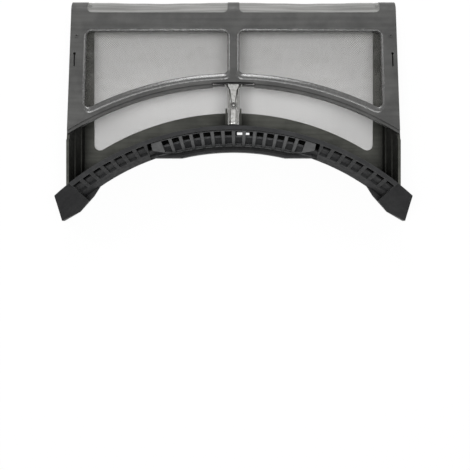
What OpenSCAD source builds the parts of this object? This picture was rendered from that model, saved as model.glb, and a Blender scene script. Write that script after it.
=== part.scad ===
// Tumble dryer lint filter with a curved grille bar and a fold-open cover.
// It lies on its back: X runs along the bar, Y from the bar to the nose, Z up.
// Every shape is drawn with Y = 0 at the common centre of the arcs, and in_place()
// then moves it so that the origin lies on the ground below the middle of the filter.

/* [Body] */
// Width over the top rims of the side walls
rim_w = 298; // [294:0.5:302]
// How far each edge of the cover stays inside the rims
cover_inset = 0.7; // [0.5:0.1:1.5]
// How far each side wall leans outward between the ground and its rim
wall_lean = 6.5; // [4:0.5:8]
// Distance from the bar's rim to the end of the nose
body_l = 118; // [112:0.5:128]
// Diameter of the rounded nose
nose_d = 25; // [23:0.5:28]
// Angle between the cover and the back
wedge_angle = 9.5; // [8:0.1:10.5]
// Thickness of the cover
cover_t = 2.6; // [2.2:0.1:3.2]
// Thickness of the back
back_t = 2.4; // [2:0.1:3]
// Thickness of the side walls
wall_t = 2.4; // [1.8:0.1:3]
// Gap between the cover and the rims that it lies on
seat_gap = 0.3; // [0.2:0.05:0.5]

/* [Arcs] */
// Radius of the outer edge of the bar's rim
rim_r = 235; // [233:0.5:237]
// Width of the mouth between the rim and the cover's lip
mouth_w = 36.4; // [34:0.2:38]
// Width of the rail between the lip's edge and the front windows
lip_rail_w = 10.6; // [9:0.1:13]
// Width of the back's border behind the rim
back_border_w = 17; // [13:0.5:20]
// How far the centre of the border's edge lies from the centre of the other arcs
border_shift = 14; // [0:1:30]

/* [Windows] */
// Width of the rails beside the front windows
side_rail_w = 14.4; // [12:0.1:17]
// Width of the middle rib between the windows
rib_w = 10.3; // [9:0.1:14]
// Distance from the front windows to the end of the nose
far_rail_w = 30; // [27:0.5:35]
// Distance from the nose's windows to the end of the nose
nose_window_l = 12.3; // [10:0.1:13]
// Radius of the front windows' corners
window_corner = 4.5; // [3:0.5:7]
// Width of the rails beside the back windows, at the ground
back_rail_w = 11.2; // [9:0.1:13]
// Width of the rail between the back windows and the hinge
back_far_w = 10.3; // [8:0.1:15]
// Radius of the back windows' outer corners
back_corner = 5.5; // [4:0.5:10]
// Radius of the back windows' corners beside the middle rib
back_corner_in = 1.5; // [1:0.5:4]
// Thickness of the filter cloth
mesh_t = 0.6; // [0.4:0.1:0.8]
// Width of the ledge that the cloth is welded to
mesh_ledge = 1.6; // [1:0.1:2]

/* [Grille bar] */
// How far each tip of the bar stands out beyond the side rims
tip_overhang = 10.5; // [6:0.5:14]
// Height of the bar
bar_h = 43; // [41:0.5:46]
// Distance in plan from the foot of the bar's sloping face to the rim's outer edge
face_run = 13; // [11:0.5:15]
// Width of the raised rim
rim_land = 3.5; // [2.5:0.1:4.5]
// Thickness of the rim
rim_t = 2; // [1.5:0.1:3]
// Thickness of the bar's sloping wall
face_t = 3; // [2.4:0.1:3.6]
// Thickness of the foot
foot_t = 3; // [2:0.1:4]
// Width of the flange below the grip and at the tips
flange_w = 7; // [5:0.5:9]
// How far the lowest corners of the tips stand back from the flange's arc
tip_rise = 4.364; // [2:0.1:6]
// Thickness of the wall that closes the bar behind
channel_t = 1; // [0.8:0.1:1.2]
// Number of slots on each side of the grip
side_slots = 7; // [4:1:7]
// Distance along the rim from the middle to the first side slot
side_slot_start = 87.4; // [86.4:0.2:90]
// Distance along the rim from one side slot to the next
side_slot_step = 11.07; // [10.27:0.1:11.27]
// Width of a side slot
side_slot_w = 7.4; // [5:0.1:8]

/* [Grip] */
// Length of the grip insert
grip_w = 148; // [140:1:150]
// Gap at each end of the grip
grip_end_gap = 3.6; // [2:0.1:5]
// How far the lower edge of the grip stands in front of the bar's face
grip_proud = 2.2; // [1:0.1:2.5]
// Thickness of the grip's wall
grip_t = 2; // [1.6:0.1:2.2]
// Number of slots in the grip
grip_slots = 14; // [8:1:14]
// Distance along the rim from one slot of the grip to the next
grip_slot_step = 9.84; // [9.04:0.1:9.84]
// Width of a slot in the grip
grip_slot_w = 6.3; // [5:0.1:7]

/* [Catch] */
// Width of the catch strap
strap_w = 10.4; // [9:0.1:12]
// Width of the fan-shaped head of the strap
strap_head_w = 17; // [14:0.5:20]
// Thickness of the strap
strap_t = 1.1; // [0.8:0.1:1.4]
// Length of the slot in the lip
slit_w = 37.6; // [34:0.2:42]
// Width of the slot in the lip
slit_gap = 1.6; // [1.6:0.1:1.9]
// Width of the beam between the slot and the edge of the lip
beam_w = 1.6; // [1.4:0.1:2]

/* [Hinge] */
// Diameter of the hinge studs
stud_d = 2.4; // [2.2:0.1:2.6]
// Play between a stud and its bore, on the radius
stud_play = 0.08; // [0.05:0.01:0.1]
// Outer diameter of the hinge barrel
barrel_d = 6.4; // [6:0.1:6.6]
// Length of a hinge knuckle
knuckle_w = 5; // [4:0.1:6]
// Thickness of a hinge lug
lug_t = 2.4; // [2:0.1:2.8]

/* [Hidden] */
$fn = 96;

// Overrun of cuts
cut = 1;

// Widths in plan
base_w = rim_w - 2 * wall_lean;
cover_w = rim_w - 2 * cover_inset;
window_w = cover_w - 2 * side_rail_w;
back_window_w = base_w - 2 * back_rail_w;
bar_w = rim_w + 2 * tip_overhang;

// Radii of the arcs, and distances from their centre
face_r = rim_r - face_run;
flange_r = face_r - flange_w;
grip_foot_r = face_r - grip_proud;
border_r = rim_r + back_border_w;
lip_r = rim_r + mouth_w;
window_r = lip_r + lip_rail_w;
tip_y = sqrt(pow(flange_r + tip_rise, 2) - pow(bar_w / 2, 2));
nose_y = rim_r + body_l;
window_top = nose_y - far_rail_w;
nose_window_y = nose_y - nose_window_l;

// A reach beyond the whole filter
reach = 2 * nose_y;

// Nose circle, in the plane of Y and Z
nose_r = nose_d / 2;
nose_c = [nose_y - nose_r, nose_r];
tangent_angle = 90 - wedge_angle;
nose_shell = 2.2;
rail_low_angle = -37;
rail_high_angle = -12;
arc_steps = 14;

// Hinge axis, below the nose
hinge_share = [0.44, -0.664];
hinge = nose_c + nose_r * hinge_share;
barrel_r = barrel_d / 2;
bore_r = stud_d / 2 + stud_play;
lug_relief = 0.25;
lug_r = barrel_r - lug_relief;
lug_gap = 0.3;
// Distance from the cover's side to the middle of the outer knuckles
hinge_inset = 8.8;
hinge_side_x = cover_w / 2 - hinge_inset;

// Bar
rim_in_r = rim_r - rim_land;
rim_ledge = 0.5;
rim_low = bar_h - rim_t;
grip_low = 0.14 * bar_h;
grip_rim_gap = 2;
grip_high = rim_low - grip_rim_gap;
back_r = face_r + face_t;

// Where the lip of the cover meets the side rims
lip_side_y = sqrt(pow(lip_r, 2) - pow(cover_w / 2, 2));
rim_step_y = lip_side_y - 2 * wall_t;

// Middle of the filter along Y
middle_y = (tip_y + nose_y) / 2;

// Height of the top of the cover at y
function cover_z(y) = nose_c[1] + nose_r * sin(tangent_angle)
    + (nose_c[0] + nose_r * cos(tangent_angle) - y) * tan(wedge_angle);

// Angle of a length along the rim
function turn(length) = length / rim_r * 180 / PI;

// Height at y of a plane that lies a distance below the top of the cover
function below_cover(y, depth) = cover_z(y) - depth / cos(wedge_angle);

// Points along an arc
function arc_points(centre, radius, from, to, steps) =
    [for (i = [0:steps]) let (a = from + (to - from) * i / steps)
        centre + radius * [cos(a), sin(a)]];

// Outline of a window between a rib, an arc, a side edge and the top edge.
// The grow value moves all edges outward.
function window_points(x_in, x_out, radius, top, corner_in, corner_out, grow) =
    let (ci = corner_in + grow, co = corner_out + grow,
        r = radius - grow, xi = x_in - grow, xo = x_out + grow,
        low_in = [xi + ci, sqrt(pow(r + ci, 2) - pow(xi + ci, 2))],
        low_out = [xo - co, sqrt(pow(r + co, 2) - pow(xo - co, 2))],
        a_in = atan2(low_in[1], low_in[0]), a_out = atan2(low_out[1], low_out[0]),
        y = top + grow)
    concat(arc_points(low_in, ci, 180, 180 + a_in, 6),
        arc_points([0, 0], r, a_in, a_out, 30),
        arc_points(low_out, co, 180 + a_out, 360, 6),
        arc_points([xo - co, y - co], co, 0, 90, 6),
        arc_points([xi + ci, y - ci], ci, 90, 180, 6));

// Height of the sloping face of the bar as a radius at height z
function face_at(z) = face_r + (rim_in_r - face_r) * (z - foot_t) / (rim_low - foot_t);

module in_place() translate([0, -middle_y, 0]) children();
module both_sides() { children(); mirror([1, 0, 0]) children(); }

// Extrudes a shape drawn in Y and Z along X, about x = 0 or between two places
module along_x(width) rotate([90, 0, 90]) translate([0, 0, -width / 2])
    linear_extrude(width) children();
module between_x(from, to) rotate([90, 0, 90]) translate([0, 0, from])
    linear_extrude(to - from) children();

// A slab parallel to the cover, between two depths below its top
module cover_slab(depth_from, depth_to, y_from, y_to) along_x(bar_w) polygon([
    [y_from, below_cover(y_from, depth_to)], [y_to, below_cover(y_to, depth_to)],
    [y_to, below_cover(y_to, depth_from)], [y_from, below_cover(y_from, depth_from)]]);

module front_window(grow, height = reach) linear_extrude(height)
    polygon(window_points(rib_w / 2, window_w / 2, window_r, window_top, window_corner,
        window_corner, grow));
module back_window(grow, height = reach) translate([0, border_shift, 0]) linear_extrude(height)
    polygon(window_points(rib_w / 2, back_window_w / 2, border_r - border_shift,
        plate_end - back_far_w - border_shift, back_corner_in, back_corner, grow));

// A ring between two radii, and the part of the plan within an angle of the Y axis
module ring(r_in, r_out, low, high) translate([0, 0, low]) difference() {
    cylinder(r = r_out, h = high - low);
    translate([0, 0, -cut]) cylinder(r = r_in, h = high - low + 2 * cut);
}
module plan_box(x_half, y_from, y_to, low, high)
    translate([-x_half, y_from, low]) cube([2 * x_half, y_to - y_from, high - low]);

/* Back half */

wall_ledge = 0.8;
plate_gap = 1;
plate_end = hinge[0] - barrel_r - plate_gap;
arm_low = hinge[1] - 0.8 * barrel_r;

// Section of the left-hand side wall in X and Z: it leans outward, and its inner face
// has two shallow steps
module wall_section() {
    lean = (rim_w - base_w) / 2;
    x0 = base_w / 2;
    polygon([[x0 - wall_t, 0], [x0, 0], [x0 + lean, bar_h], [x0 + lean - wall_t, bar_h],
        [x0 + lean * 2 / 3 - wall_t, bar_h * 2 / 3],
        [x0 + lean * 2 / 3 - wall_t - wall_ledge, bar_h * 2 / 3],
        [x0 + lean / 3 - wall_t - wall_ledge, bar_h / 3],
        [x0 + lean / 3 - wall_t - 2 * wall_ledge, bar_h / 3]]);
}

// Side view of both side walls: under the cover, and full height beside the mouth
module wall_side() {
    y_end = plate_end;
    depth = cover_t + seat_gap;
    polygon([[tip_y, 0], [y_end, 0], [y_end, below_cover(y_end, depth)],
        [rim_step_y, below_cover(rim_step_y, depth)], [rim_step_y, bar_h], [tip_y, bar_h]]);
}

// Everything inside the back face of the bar, which the back half ends at
module bar_envelope() translate([0, 0, -cut]) rotate_extrude() polygon([[0, 0],
    [back_r, 0], [back_r, cut + foot_t], [rim_r - rim_ledge, cut + rim_low],
    [rim_r, cut + rim_low], [rim_r, bar_h + 2 * cut], [0, bar_h + 2 * cut]]);

// Places of the hinge knuckles along X
hinge_places = [-hinge_side_x, 0, hinge_side_x];

module lug_notches() for (x = hinge_places, side = [-1, 1])
    translate([x + side * (knuckle_w / 2 + lug_gap + lug_t / 2) - lug_t / 2 - lug_gap,
        plate_end + plate_gap / 2, -cut])
        cube([lug_t + 2 * lug_gap, barrel_d + 3 * plate_gap, nose_d]);

module knuckle_bores() for (x = hinge_places) {
    width = knuckle_w + 2 * cut;
    translate([x - width / 2, hinge[0], hinge[1]]) rotate([0, 90, 0])
        cylinder(r = bore_r, h = width);
    // The stud snaps in through a narrower slot
    translate([x - width / 2, hinge[0], hinge[1] - stud_d * 0.4])
        cube([width, barrel_d, stud_d * 0.8]);
}

// Keeper behind the rim that the catch strap comes down on
keeper_margin = 2;
keeper_w = strap_w + 2 * keeper_margin;
keeper_wall = 1.5;
keeper_gap = 1;
keeper_y = [rim_r + keeper_gap, border_r - keeper_gap];
strap_low = cover_z(lip_r) + seat_gap;
keeper_top = strap_low - seat_gap;
module keeper() {
    both_sides() translate([keeper_w / 2 - keeper_wall, keeper_y[0], 0])
        cube([keeper_wall, keeper_y[1] - keeper_y[0], keeper_top]);
    plan_box(keeper_w / 2, keeper_y[0], keeper_y[0] + 2 * keeper_wall,
        keeper_top - 2 * keeper_wall, keeper_top);
}

module rear_frame() color("#464740") in_place() {
    difference() {
        union() {
            plan_box(base_w / 2, tip_y, plate_end + plate_gap, 0, back_t);
            intersection() {
                both_sides() translate([0, plate_end, 0]) rotate([90, 0, 0])
                    linear_extrude(plate_end - tip_y) wall_section();
                along_x(bar_w) wall_side();
            }
            translate([-hinge_side_x - knuckle_w / 2, hinge[0], hinge[1]])
                rotate([0, 90, 0]) cylinder(r = barrel_r, h = 2 * hinge_side_x + knuckle_w);
            plan_box(hinge_side_x + knuckle_w / 2, plate_end, hinge[0], arm_low, hinge[1]);
            keeper();
        }
        bar_envelope();
        both_sides() translate([0, 0, -cut]) back_window(0);
        both_sides() translate([0, 0, -cut]) back_window(mesh_ledge, cut + back_t / 2);
        lug_notches();
        knuckle_bores();
        // Drain hole behind the bar
        translate([drain_x, rim_r - drain_w, -cut])
            cube([drain_l, drain_w, back_t + 2 * cut]);
    }
}
drain_x = 3.3;
drain_l = 11.6;
drain_w = 3.4;

module rear_mesh() in_place() translate([0, 0, back_t / 2 - mesh_t])
    back_window(mesh_ledge, mesh_t);
module rear_mesh_left() color("#a9a8a2") mirror([1, 0, 0]) rear_mesh();
module rear_mesh_right() color("#a9a8a2") rear_mesh();

/* Grille bar */

pocket_floor_z = 0.47 * bar_h;
pocket_wall = 1.6;
pocket_floor_r = grip_back(pocket_floor_z) + 2 * seat_gap + pocket_wall;
channel_half = base_w / 2 - wall_t - 2 * wall_ledge - seat_gap;
fin_inset = 0.3;
fin_knee_z = 0.23 * bar_h;
// The fins' feet end in the middle of the wall that they stand on
fin_foot_r = back_r - pocket_wall / 2;
recess_half = grip_w / 2 + grip_end_gap;
fin_angles = [-6, -3, 0, 3, 6] * turn(grip_slot_step);
slot_low = 0.4 * bar_h;
slot_hole = 0.7 * bar_h;
slot_top = rim_low - rim_t / 2;
// The flange is cut straight from this angle outward
flange_flat_angle = 13;
flange_low_y = flange_r * cos(flange_flat_angle);
lip_w = 2.2;
lip_h = 8;
// Angle of the rim's ends, and of the corners of the tabs below the tips
tip_angle = asin(bar_w / 2 / rim_r);
tab_start_angle = 0.805 * tip_angle;
tab_knee_angle = 0.866 * tip_angle;
tab_corner_angle = 0.987 * tip_angle;
tab_knee_r = flange_r + foot_t;
// The closed end panels start at this angle
panel_angle = 0.903 * tip_angle;
function polar(radius, angle) = radius * [sin(angle), cos(angle)];
function on_circle(radius, x) = [x, sqrt(pow(radius, 2) - pow(x, 2))];

module bar_plan() plan_box(bar_w / 2, 0, rim_r + cut, 0, bar_h);

// Cutter for one side slot: a shallow pocket below and a hole through the wall above
module side_slot(angle) rotate([0, 0, -angle]) {
    translate([-side_slot_w / 2, 0, slot_hole])
        cube([side_slot_w, reach, slot_top - slot_hole]);
    translate([-side_slot_w / 2, 0, 0]) rotate([90, 0, 90]) linear_extrude(side_slot_w)
        polygon([[flange_r, slot_low], [face_at(slot_low), slot_low],
            [face_at(slot_low) + face_t * 0.6, slot_low + face_t / 3],
            [face_at(slot_top) + face_t * 0.6, slot_top], [flange_r, slot_top]]);
}

// Flange of the foot, seen in plan
module flange() {
    intersection() {
        ring(flange_r, back_r, 0, foot_t);
        plan_box(recess_half, flange_low_y, rim_r, 0, foot_t);
    }
    // Upstanding lip in front of the grip, with its straight ends
    intersection() {
        ring(flange_r, flange_r + lip_w, 0, lip_h);
        plan_box(recess_half, flange_low_y, rim_r, 0, lip_h);
    }
    intersection() {
        ring(flange_r, back_r, 0, lip_h);
        plan_box(recess_half, flange_low_y, flange_low_y + lip_w, 0, lip_h);
    }
    // Tabs below the tips
    both_sides() linear_extrude(foot_t) polygon([[bar_w / 2, tip_y],
        polar(flange_r, tab_corner_angle), polar(tab_knee_r, tab_knee_angle),
        polar(face_r, tab_start_angle), polar(back_r, tab_start_angle),
        on_circle(back_r, bar_w / 2)]);
}

// Plan of all that lies outward of an angle from the Y axis
module outward(angle) linear_extrude(bar_h + cut)
    polygon([[0, 0], reach * [sin(angle), cos(angle)], [reach, 0]]);

// Closed panels at both tips. Their face starts at the edge of the flange.
module end_panels() both_sides() intersection() {
    rotate_extrude() polygon([[flange_r, 0], [flange_r, foot_t], [rim_r - rim_ledge, bar_h],
        [rim_r, bar_h], [rim_r, rim_low], [rim_r - rim_ledge, rim_low], [back_r, foot_t],
        [back_r, 0]]);
    linear_extrude(bar_h) polygon([polar(tab_knee_r, tab_knee_angle),
        polar(flange_r, tab_corner_angle), [bar_w / 2, tip_y], [bar_w / 2, rim_r],
        polar(rim_r + cut, tab_knee_angle)]);
    outward(panel_angle);
}

module grille_bar() color("#3c3d3f") in_place() {
    difference() {
        intersection() {
            rotate_extrude() polygon([[face_r, 0], [face_r, foot_t], [rim_in_r, rim_low],
                [rim_in_r, bar_h], [rim_r, bar_h], [rim_r, rim_low],
                [rim_r - rim_ledge, rim_low], [back_r, foot_t], [back_r, 0]]);
            bar_plan();
        }
        plan_box(recess_half, 0, rim_r, foot_t, rim_low);
        for (side = [-1, 1], i = [0:side_slots - 1])
            side_slot(side * turn(side_slot_start + i * side_slot_step));
        both_sides() translate([0, 0, -cut / 2]) outward(panel_angle);
    }
    end_panels();
    // Wall that closes the bar behind, between the side walls
    intersection() {
        ring(rim_r - channel_t, rim_r, back_t, rim_low + rim_t / 2);
        plan_box(channel_half, 0, rim_r + cut, 0, bar_h);
    }
    intersection() {
        bar_plan();
        flange();
    }
    // Wall and fins behind the grip
    intersection() {
        rotate_extrude() polygon([[back_r - pocket_wall, 0], [back_r - pocket_wall, foot_t],
            [pocket_floor_r - pocket_wall, pocket_floor_z], [pocket_floor_r, pocket_floor_z],
            [back_r, foot_t], [back_r, 0]]);
        plan_box(recess_half, 0, rim_r, 0, bar_h);
    }
    for (a = fin_angles) rotate([0, 0, -a]) between_x(-pocket_wall / 2, pocket_wall / 2)
        polygon([[fin_foot_r, 0], [fin_foot_r, foot_t],
            [grip_back(fin_knee_z) + seat_gap, fin_knee_z],
            [grip_back(grip_high) + seat_gap, grip_high],
            [grip_back(grip_high) + seat_gap, rim_low + rim_t / 2],
            [rim_r - fin_inset, rim_low + rim_t / 2], [rim_r - fin_inset, 0.7 * bar_h],
            [pocket_floor_r - pocket_wall / 2, pocket_floor_z - pocket_wall]]);
}

/* Grip insert */

grip_flat_angle = 13.8;
grip_low_y = grip_foot_r * cos(grip_flat_angle);
grip_return = 1;
function grip_back(z) = grip_foot_r + grip_t
    + (rim_in_r - grip_foot_r) * (z - grip_low) / (grip_high - grip_low);
// Plain bands below and above the slots
grip_band_low = 6;
grip_band_high = 2.4;
grip_slot_low = grip_low + grip_band_low;
grip_slot_high = grip_high - grip_band_high;

module grip_insert() color("#4d4e50") in_place() intersection() {
    difference() {
        rotate_extrude() polygon([[grip_foot_r, grip_low], [rim_in_r, grip_high],
            [rim_in_r + grip_t, grip_high],
            [grip_back(grip_low + grip_return), grip_low + grip_return],
            [grip_foot_r + grip_t + grip_return, grip_low + grip_return],
            [grip_foot_r + grip_t + grip_return, grip_low]]);
        for (i = [0:grip_slots - 1])
            rotate([0, 0, (i - (grip_slots - 1) / 2) * turn(grip_slot_step)])
                translate([-grip_slot_w / 2, grip_low_y, grip_slot_low]) cube([grip_slot_w,
                    rim_r - grip_low_y, grip_slot_high - grip_slot_low]);
    }
    plan_box(grip_w / 2, grip_low_y, rim_r, 0, bar_h);
}

/* Cover */

step_w = 2;
step_d = 0.7;
slit_r = [lip_r + beam_w, lip_r + beam_w + slit_gap];
flange_depth = 5;
flange_t = 1.5;
lip_step_w = 2.7;
lip_step_d = 0.8;
lug_high_angle = 20;

// Side view of the cover: a flat plate that runs into the round nose
module cover_section() {
    y = lip_side_y - cut;
    polygon(concat([[y, cover_z(y)], [y, below_cover(y, cover_t)]],
        arc_points(nose_c, nose_r - nose_shell, tangent_angle, rail_low_angle, arc_steps),
        arc_points(nose_c, nose_r, rail_low_angle, tangent_angle, arc_steps)));
}

// Outline of an end cap and of a hinge lug in Y and Z
module cap_section() polygon(concat(
    [[plate_end + 2 * seat_gap, hinge[1]],
        [plate_end + 2 * seat_gap, below_cover(plate_end, cover_t / 2)]],
    arc_points(nose_c, nose_r - nose_shell / 2, tangent_angle, rail_low_angle, arc_steps),
    [hinge]));
module lug_section() {
    translate(hinge) circle(r = lug_r);
    polygon(concat([hinge + [-lug_r * 0.9, lug_r * 0.2], hinge + [lug_r * 0.9, -lug_r * 0.2]],
        arc_points(nose_c, nose_r - nose_shell / 2, rail_low_angle, lug_high_angle, arc_steps)));
}

module hinge_lugs() for (x = hinge_places) {
    for (side = [-1, 1]) {
        middle = x + side * (knuckle_w / 2 + lug_gap + lug_t / 2);
        between_x(middle - lug_t / 2, middle + lug_t / 2) lug_section();
    }
    translate([x - knuckle_w / 2 - lug_t, hinge[0], hinge[1]]) rotate([0, 90, 0])
        cylinder(r = stud_d / 2, h = knuckle_w + 2 * lug_t);
}

// Window of the nose: a layer between two depths below the outside, from the lower rail
// over the round of the nose and a little way onto the flat, with two rounded corners
module nose_window(depth_from, depth_to) intersection() {
    y = nose_window_y - cut;
    between_x(rib_w / 2, window_w / 2) polygon(concat(
        arc_points(nose_c, nose_r - depth_to, rail_high_angle, tangent_angle, arc_steps),
        [[y, below_cover(y, depth_to)], [y, below_cover(y, depth_from)]],
        arc_points(nose_c, nose_r - depth_from, tangent_angle, rail_high_angle, arc_steps)));
    linear_extrude(reach) polygon(concat(
        arc_points([rib_w / 2 + window_corner, nose_window_y + window_corner], window_corner,
            180, 270, 6),
        arc_points([window_w / 2 - window_corner, nose_window_y + window_corner],
            window_corner, 270, 360, 6),
        [[window_w / 2, nose_y + cut], [rib_w / 2, nose_y + cut]]));
}

// Side latch: a slit with a round head, a dimple, and two nubs on the window's edge.
// Places are given as distances from the cover's side and from the windows' far edge.
latch_inset = 4.4;
latch_drop = 33.5;
latch_l = 12.1;
latch_t = 1.2;
dimple_inset = 5.6;
dimple_drop = 4.5;
dimple_r = 1.6;
nub_drop = 13.5;
nub_spacing = 23.2;
nub_r = 1.4;
notch_d = 0.7;
latch_x = cover_w / 2 - latch_inset;
latch_y = window_top - latch_drop;
dimple_place = [cover_w / 2 - dimple_inset, window_top - dimple_drop];
nub_y = [window_top - nub_drop - nub_spacing, window_top - nub_drop];

module front_frame() color("#5c5c5c") in_place() difference() {
    union() {
        difference() {
            union() {
                intersection() {
                    along_x(cover_w) cover_section();
                    difference() {
                        plan_box(cover_w / 2, 0, nose_y + cut, 0, reach);
                        translate([0, 0, -cut]) cylinder(r = lip_r, h = reach + 2 * cut);
                    }
                }
                // Stiffening flange along the lip
                intersection() {
                    cover_slab(cover_t / 2, cover_t + flange_depth, lip_side_y, lip_r + cut);
                    ring(lip_r, lip_r + flange_t, 0, reach);
                    plan_box(base_w / 2 - 2 * wall_t, 0, nose_y, 0, reach);
                }
                both_sides() between_x(cover_w / 2 - wall_t, cover_w / 2) cap_section();
                hinge_lugs();
            }
            both_sides() front_window(0);
            both_sides() intersection() {
                front_window(step_w);
                cover_slab(-cut, step_d, 0, nose_y);
            }
            both_sides() intersection() {
                front_window(mesh_ledge);
                cover_slab(cover_t - mesh_t, cover_t + cut, 0, nose_y);
            }
            both_sides() nose_window(-cut, cover_t + cut);
            // Lowered step along the free edge of the lip
            intersection() {
                cover_slab(-cut, lip_step_d, 0, nose_y);
                ring(lip_r - cut, lip_r + lip_step_w, 0, reach);
            }
            // Slot that the strap's head hangs in
            intersection() {
                ring(slit_r[0], slit_r[1], 0, reach);
                plan_box(slit_w / 2, 0, reach, 0, reach);
            }
            plan_box(slit_w / 2, 0, slit_r[0], 0, below_cover(lip_r, cover_t));
            both_sides() {
                translate([latch_x - latch_t / 2, latch_y, 0])
                    cube([latch_t, latch_l, reach]);
                translate([latch_x, latch_y + latch_l, 0])
                    cylinder(r = latch_t, h = reach);
                translate([window_w / 2 - cut, nub_y[0], 0])
                    cube([notch_d + cut, nub_y[1] - nub_y[0], reach]);
            }
        }
        both_sides() intersection() {
            cover_slab(step_d, cover_t - mesh_t, 0, nose_y);
            for (y = nub_y) translate([window_w / 2 + nub_r / 2, y, 0])
                cylinder(r = nub_r, h = reach);
        }
        both_sides() intersection() {
            cover_slab(-step_d / 2, cover_t, 0, nose_y);
            translate(dimple_place) cylinder(r = dimple_r, h = reach);
        }
    }
    both_sides() intersection() {
        cover_slab(-cut, step_d / 2, 0, nose_y);
        translate(dimple_place) cylinder(r = dimple_r / 2, h = reach);
    }
}

module front_mesh() in_place() intersection() {
    cover_slab(cover_t - mesh_t, cover_t, 0, nose_y);
    front_window(mesh_ledge);
}
module front_mesh_left() color("#b0afaa") mirror([1, 0, 0]) front_mesh();
module front_mesh_right() color("#b0afaa") front_mesh();

module nose_mesh() in_place() nose_window(0, mesh_t);
module nose_mesh_left() color("#9c9b96") mirror([1, 0, 0]) nose_mesh();
module nose_mesh_right() color("#9c9b96") nose_mesh();

/* Catch strap */

tab_t = 0.6;
tab_w = 14;
tab_drop = 4.5;
tab_y = (slit_r[0] + slit_r[1] - tab_t) / 2;
tab_low = below_cover(tab_y, cover_t) - tab_drop;
head_margin = 3;
head_w = slit_w - 2 * head_margin;
head_h = 2.4;
foot_gap = 1.2;
strap_foot_y = rim_r + foot_gap;
border_w = 1.2;
border_h = 0.5;
fan_l = 7;
fan_flare = (strap_head_w - strap_w) / 8;
boss_y = (strap_foot_y + lip_r) / 2;
boss_r = 2;

// Plan of the strap: straight sides that flare into the fan-shaped head
module strap_plan(grow) {
    half = strap_w / 2 + grow;
    head_half = strap_head_w / 2 + grow;
    head_y = tab_y + tab_t;
    polygon([[-half, strap_foot_y - grow], [half, strap_foot_y - grow],
        [half, lip_r - fan_l], [half + fan_flare, lip_r - fan_l * 0.4],
        [head_half, lip_r], [head_half, head_y], [-head_half, head_y], [-head_half, lip_r],
        [-half - fan_flare, lip_r - fan_l * 0.4], [-half, lip_r - fan_l]]);
}

module catch_strap() color("#c9c7c2") in_place() {
    difference() {
        translate([0, 0, strap_low]) linear_extrude(strap_t + border_h) strap_plan(0);
        // The inner tongue lies lower than the border
        translate([0, 0, strap_low + strap_t]) linear_extrude(strap_t) strap_plan(-border_w);
    }
    translate([0, boss_y, strap_low + strap_t / 2])
        cylinder(r = boss_r, h = strap_t / 2 + border_h);
    translate([-tab_w / 2, tab_y, tab_low])
        cube([tab_w, tab_t, strap_low - tab_low + strap_t / 2]);
    translate([-head_w / 2, tab_y, tab_low]) cube([head_w, tab_t, head_h]);
}

rear_frame();
rear_mesh_left();
rear_mesh_right();
grille_bar();
grip_insert();
front_frame();
front_mesh_left();
front_mesh_right();
nose_mesh_left();
nose_mesh_right();
catch_strap();
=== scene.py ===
# %% [markdown]
# # Lint filter of a tumble dryer
# The filter is a flat wedge of moulded plastic that lies on its back. A hinged cover with two
# cloth windows closes it, a curved grille bar stands at its low edge, and a pale stamped strap
# crosses the mouth between them. The moulded parts come from the CAD model as they are and get
# their finish here. Cloth, grip and strap are thin formed sheets, so they are worked out here as
# surfaces of two parameters. Lengths are in metres, in the CAD model's own frame.

# %% Load the CAD model
import math

import bpy
import numpy as np
from mathutils import Euler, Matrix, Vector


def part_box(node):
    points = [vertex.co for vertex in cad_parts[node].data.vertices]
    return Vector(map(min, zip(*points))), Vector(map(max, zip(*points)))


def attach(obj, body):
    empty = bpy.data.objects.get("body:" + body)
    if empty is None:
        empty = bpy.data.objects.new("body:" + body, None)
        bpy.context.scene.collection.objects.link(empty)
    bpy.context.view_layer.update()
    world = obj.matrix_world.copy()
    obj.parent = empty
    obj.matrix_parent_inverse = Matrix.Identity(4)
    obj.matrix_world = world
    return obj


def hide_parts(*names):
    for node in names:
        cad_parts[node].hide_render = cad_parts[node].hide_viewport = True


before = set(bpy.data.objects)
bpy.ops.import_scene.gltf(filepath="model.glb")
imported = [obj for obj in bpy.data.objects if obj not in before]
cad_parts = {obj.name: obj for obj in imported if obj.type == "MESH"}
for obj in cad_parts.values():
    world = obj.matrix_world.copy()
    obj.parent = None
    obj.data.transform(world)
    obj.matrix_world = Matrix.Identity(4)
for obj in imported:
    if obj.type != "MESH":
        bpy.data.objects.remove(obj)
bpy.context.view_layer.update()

# %% [markdown]
# ## Sizes shared with the CAD source
# The sheets have to meet the moulded parts, so the few values that place them are repeated
# here. The source draws with y = 0 at the centre of the arcs, and the frame has y = 0 at the
# middle of the filter: MIDDLE_Y is the step between the two.

# %% Sizes of the moulded parts
MM = 0.001
MIDDLE_Y = 251.8 * MM
# Centre and radius of the round nose, and the slope of the cover
NOSE_Y, NOSE_Z, NOSE_R = 340.5 * MM, 12.5 * MM, 12.5 * MM
WEDGE = math.radians(9.5)
# Thickness of the cover and of the cloth, and how far the cloth reaches below a window's edge
COVER_T, CLOTH_T, LEDGE = 2.6 * MM, 0.6 * MM, 1.6 * MM
# Half widths of the middle rib, of the cover's pair of windows and of the back's pair
RIB_HALF, WINDOW_HALF, BACK_HALF = 5.15 * MM, 133.9 * MM, 131.3 * MM
# A window of the cover: radius of its arc, place of its far edge, radius of its corners
WINDOW_R, WINDOW_TOP, WINDOW_CORNER = 282 * MM, 323 * MM, 4.5 * MM
# A window of the back: radius of its arc, place of the arc's centre and of the far edge
BACK_R, BACK_SHIFT, BACK_TOP = 238 * MM, 14 * MM, 331.5 * MM
# Radius of the lip's edge and of the bar's rim, and the place where the nose windows end
LIP_R, RIM_R, NOSE_WINDOW_Y = 271.4 * MM, 235 * MM, 340.7 * MM


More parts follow.
